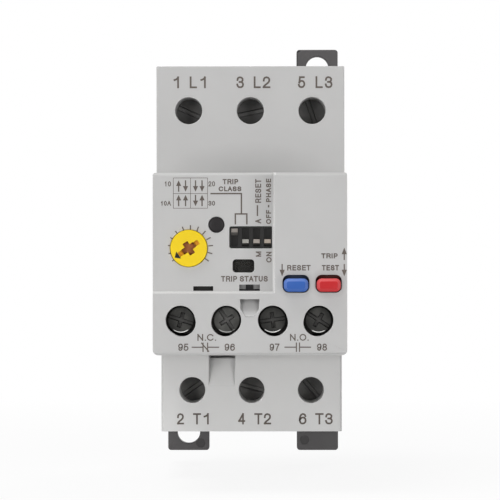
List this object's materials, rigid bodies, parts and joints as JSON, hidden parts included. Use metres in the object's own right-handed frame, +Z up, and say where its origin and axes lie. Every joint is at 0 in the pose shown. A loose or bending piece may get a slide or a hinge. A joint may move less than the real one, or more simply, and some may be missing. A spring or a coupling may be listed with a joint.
{
  "type": "electronic overload relay",
  "caption": "Grey DIN-rail motor overload relay with line and load screw terminals, a current dial, slide switches, reset and test buttons and auxiliary contacts",
  "frame": {"origin": "on the back plane of the base, midway between the two diagonal mounting holes", "axes": "+X to the right seen from the front, +Y back into the mounting panel, +Z up, the line terminals above and the load terminals below"},
  "size_m": [0.045, 0.09, 0.106],
  "materials": {
    "cover_grey": "fine spark-eroded moulded plastic, light grey",
    "base_dark": "moulded plastic, dark grey",
    "dial_yellow": "moulded plastic, yellow",
    "button_blue": "moulded plastic, blue",
    "button_red": "moulded plastic, red",
    "switch_black": "moulded plastic, black",
    "slider_grey": "moulded plastic, pale grey",
    "lens_dark": "tinted clear plastic",
    "led_body": "tinted epoxy",
    "frame_black": "glass-filled plastic, black",
    "flag_orange": "moulded plastic, orange",
    "board_green": "glass-epoxy laminate with solder mask",
    "chip_black": "epoxy and aluminium cans",
    "copper": "tinned copper strip",
    "screw_steel": "zinc-plated steel",
    "spring_steel": "drawn spring wire",
    "core_iron": "laminated silicon steel",
    "winding": "enamelled copper wire"
  },
  "bodies": {
    "root": {"mounting_base": "base_dark", "rail_latch_spring": "spring_steel", "main_case": "cover_grey", "line_terminal_housing": "cover_grey", "front_cover": "cover_grey", "mechanism_frame": "frame_black", "control_board": "board_green", "board_components": "chip_black", "potentiometer": "chip_black", "dip_switch_body": "switch_black", "status_lens": "lens_dark", "status_led": "led_body", "reset_spring": "spring_steel", "test_spring": "spring_steel", "trip_coil": "winding", "trip_yoke": "core_iron", "lever_pin": "screw_steel", "aux_contact_strips": "copper", "transformer_coils": "winding", "busbar_1": "copper", "transformer_core_1": "core_iron", "busbar_2": "copper", "transformer_core_2": "core_iron", "busbar_3": "copper", "transformer_core_3": "core_iron"},
    "rail_latch": {"rail_latch": "base_dark"},
    "dial": {"dial_knob": "dial_yellow"},
    "reset": {"reset_button": "button_blue"},
    "test": {"test_button": "button_red"},
    "lever": {"trip_lever": "flag_orange"},
    "plunger": {"trip_plunger": "core_iron"},
    "carrier": {"contact_carrier": "frame_black", "nc_bridge": "copper", "no_bridge": "copper", "contact_springs": "spring_steel"},
    "slider_1": {"dip_slider_1": "slider_grey"},
    "slider_2": {"dip_slider_2": "slider_grey"},
    "slider_3": {"dip_slider_3": "slider_grey"},
    "slider_4": {"dip_slider_4": "slider_grey"},
    "line_screw_1": {"line_screw_1": "screw_steel"},
    "line_cage_1": {"line_cage_1": "screw_steel"},
    "load_screw_1": {"load_screw_1": "screw_steel"},
    "load_cage_1": {"load_cage_1": "screw_steel"},
    "line_screw_2": {"line_screw_2": "screw_steel"},
    "line_cage_2": {"line_cage_2": "screw_steel"},
    "load_screw_2": {"load_screw_2": "screw_steel"},
    "load_cage_2": {"load_cage_2": "screw_steel"},
    "line_screw_3": {"line_screw_3": "screw_steel"},
    "line_cage_3": {"line_cage_3": "screw_steel"},
    "load_screw_3": {"load_screw_3": "screw_steel"},
    "load_cage_3": {"load_cage_3": "screw_steel"},
    "aux_clamp_95": {"aux_clamp_95": "screw_steel"},
    "aux_screw_95": {"aux_screw_95": "screw_steel"},
    "aux_clamp_96": {"aux_clamp_96": "screw_steel"},
    "aux_screw_96": {"aux_screw_96": "screw_steel"},
    "aux_clamp_97": {"aux_clamp_97": "screw_steel"},
    "aux_screw_97": {"aux_screw_97": "screw_steel"},
    "aux_clamp_98": {"aux_clamp_98": "screw_steel"},
    "aux_screw_98": {"aux_screw_98": "screw_steel"}
  },
  "joints": [
    {"name": "reset_press", "type": "slide", "parent": "root", "child": "reset", "axis": [0, 1, 0], "range_m": [0, 0.0025], "stiffness_N_per_m": 400, "deforming": ["reset_spring"]},
    {"name": "test_push_pull", "type": "slide", "parent": "root", "child": "test", "axis": [0, 1, 0], "range_m": [-0.002, 0.002], "stiffness_N_per_m": 400, "deforming": ["test_spring"]},
    {"name": "dial_turn", "type": "hinge", "parent": "root", "child": "dial", "pos_m": [-0.01415, -0.088, 0.00048], "axis": [0, 1, 0], "range_deg": [0, 250]},
    {"name": "slider_1_move", "type": "slide", "parent": "root", "child": "slider_1", "axis": [0, 0, 1], "range_m": [-0.0025, 0]},
    {"name": "slider_2_move", "type": "slide", "parent": "root", "child": "slider_2", "axis": [0, 0, 1], "range_m": [0, 0.0025]},
    {"name": "slider_3_move", "type": "slide", "parent": "root", "child": "slider_3", "axis": [0, 0, 1], "range_m": [0, 0.0025]},
    {"name": "slider_4_move", "type": "slide", "parent": "root", "child": "slider_4", "axis": [0, 0, 1], "range_m": [0, 0.0025]},
    {"name": "rail_latch_pull", "type": "slide", "parent": "root", "child": "rail_latch", "axis": [0, 0, -1], "range_m": [0, 0.003], "stiffness_N_per_m": 1500, "deforming": ["rail_latch_spring"]},
    {"name": "carrier_slide", "type": "slide", "parent": "root", "child": "carrier", "axis": [0, -1, 0], "range_m": [0, 0.00157]},
    {"name": "trip_swing", "type": "hinge", "parent": "root", "child": "lever", "pos_m": [-0.0015, -0.066, -0.004], "axis": [-1, 0, 0], "range_deg": [0, 12.05]},
    {"name": "plunger_slide", "type": "slide", "parent": "root", "child": "plunger", "axis": [0, 1, 0], "range_m": [0, 0.00147]},
    {"name": "line_cage_1_rise", "type": "slide", "parent": "root", "child": "line_cage_1", "axis": [0, -1, 0], "range_m": [0, 0.004]},
    {"name": "line_screw_1_turn", "type": "hinge", "parent": "root", "child": "line_screw_1", "pos_m": [-0.01465, -0.06, 0.03315], "axis": [0, 1, 0], "range_deg": [0, 2058.14]},
    {"name": "line_cage_2_rise", "type": "slide", "parent": "root", "child": "line_cage_2", "axis": [0, -1, 0], "range_m": [0, 0.004]},
    {"name": "line_screw_2_turn", "type": "hinge", "parent": "root", "child": "line_screw_2", "pos_m": [0, -0.06, 0.03315], "axis": [0, 1, 0], "range_deg": [0, 2058.14]},
    {"name": "line_cage_3_rise", "type": "slide", "parent": "root", "child": "line_cage_3", "axis": [0, -1, 0], "range_m": [0, 0.004]},
    {"name": "line_screw_3_turn", "type": "hinge", "parent": "root", "child": "line_screw_3", "pos_m": [0.01465, -0.06, 0.03315], "axis": [0, 1, 0], "range_deg": [0, 2058.14]},
    {"name": "load_cage_1_rise", "type": "slide", "parent": "root", "child": "load_cage_1", "axis": [0, -1, 0], "range_m": [0, 0.004]},
    {"name": "load_screw_1_turn", "type": "hinge", "parent": "root", "child": "load_screw_1", "pos_m": [-0.01465, -0.034, -0.03455], "axis": [0, 1, 0], "range_deg": [0, 2058.14]},
    {"name": "load_cage_2_rise", "type": "slide", "parent": "root", "child": "load_cage_2", "axis": [0, -1, 0], "range_m": [0, 0.004]},
    {"name": "load_screw_2_turn", "type": "hinge", "parent": "root", "child": "load_screw_2", "pos_m": [0, -0.034, -0.03455], "axis": [0, 1, 0], "range_deg": [0, 2058.14]},
    {"name": "load_cage_3_rise", "type": "slide", "parent": "root", "child": "load_cage_3", "axis": [0, -1, 0], "range_m": [0, 0.004]},
    {"name": "load_screw_3_turn", "type": "hinge", "parent": "root", "child": "load_screw_3", "pos_m": [0.01465, -0.034, -0.03455], "axis": [0, 1, 0], "range_deg": [0, 2058.14]},
    {"name": "aux_clamp_95_close", "type": "slide", "parent": "root", "child": "aux_clamp_95", "axis": [0, 1, 0], "range_m": [0, 0.003]},
    {"name": "aux_screw_95_turn", "type": "hinge", "parent": "aux_clamp_95", "child": "aux_screw_95", "pos_m": [-0.0161, -0.084, -0.0162], "axis": [0, 1, 0], "range_deg": [0, 1801]},
    {"name": "aux_clamp_96_close", "type": "slide", "parent": "root", "child": "aux_clamp_96", "axis": [0, 1, 0], "range_m": [0, 0.003]},
    {"name": "aux_screw_96_turn", "type": "hinge", "parent": "aux_clamp_96", "child": "aux_screw_96", "pos_m": [-0.00543, -0.084, -0.0162], "axis": [0, 1, 0], "range_deg": [0, 1801]},
    {"name": "aux_clamp_97_close", "type": "slide", "parent": "root", "child": "aux_clamp_97", "axis": [0, 1, 0], "range_m": [0, 0.003]},
    {"name": "aux_screw_97_turn", "type": "hinge", "parent": "aux_clamp_97", "child": "aux_screw_97", "pos_m": [0.00524, -0.084, -0.0162], "axis": [0, 1, 0], "range_deg": [0, 1801]},
    {"name": "aux_clamp_98_close", "type": "slide", "parent": "root", "child": "aux_clamp_98", "axis": [0, 1, 0], "range_m": [0, 0.003]},
    {"name": "aux_screw_98_turn", "type": "hinge", "parent": "aux_clamp_98", "child": "aux_screw_98", "pos_m": [0.01591, -0.084, -0.0162], "axis": [0, 1, 0], "range_deg": [0, 1801]}
  ],
  "couplings": [
    {"joint": "trip_swing", "follows": "carrier_slide", "rad_per_m": 133.33},
    {"joint": "plunger_slide", "follows": "carrier_slide", "ratio": 0.93333},
    {"joint": "line_screw_1_turn", "follows": "line_cage_1_rise", "rad_per_m": 8976},
    {"joint": "line_screw_2_turn", "follows": "line_cage_2_rise", "rad_per_m": 8976},
    {"joint": "line_screw_3_turn", "follows": "line_cage_3_rise", "rad_per_m": 8976},
    {"joint": "load_screw_1_turn", "follows": "load_cage_1_rise", "rad_per_m": 8976},
    {"joint": "load_screw_2_turn", "follows": "load_cage_2_rise", "rad_per_m": 8976},
    {"joint": "load_screw_3_turn", "follows": "load_cage_3_rise", "rad_per_m": 8976},
    {"joint": "aux_screw_95_turn", "follows": "aux_clamp_95_close", "rad_per_m": 10472},
    {"joint": "aux_screw_96_turn", "follows": "aux_clamp_96_close", "rad_per_m": 10472},
    {"joint": "aux_screw_97_turn", "follows": "aux_clamp_97_close", "rad_per_m": 10472},
    {"joint": "aux_screw_98_turn", "follows": "aux_clamp_98_close", "rad_per_m": 10472}
  ]
}
